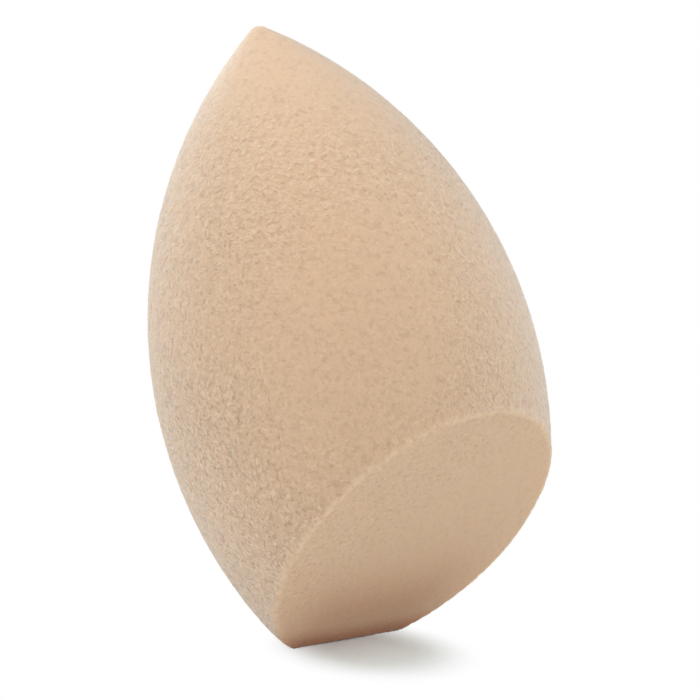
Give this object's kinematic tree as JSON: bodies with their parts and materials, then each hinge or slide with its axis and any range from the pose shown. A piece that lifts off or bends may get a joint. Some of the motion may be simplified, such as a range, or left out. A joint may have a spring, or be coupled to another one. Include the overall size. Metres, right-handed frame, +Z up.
{
  "type": "makeup sponge",
  "caption": "Soft foam makeup sponge: a pointed teardrop with a broad slanted flat cut across its heel for spreading and pressing make-up, standing on the toe of the cut.",
  "frame": {"origin": "centre of the small flat on the toe that the sponge stands on, at floor level", "axes": "+Z up from the floor; the tip leans towards -X; the slanted face looks forward, right and down (+X, -Y, -Z); the picture looks along +Y"},
  "size_m": [0.0429, 0.04, 0.0639],
  "materials": {
    "foam": "matte beige open-cell polyurethane foam with fine pores"
  },
  "bodies": {
    "root": {"foam_body": "foam"}
  },
  "joints": []
}
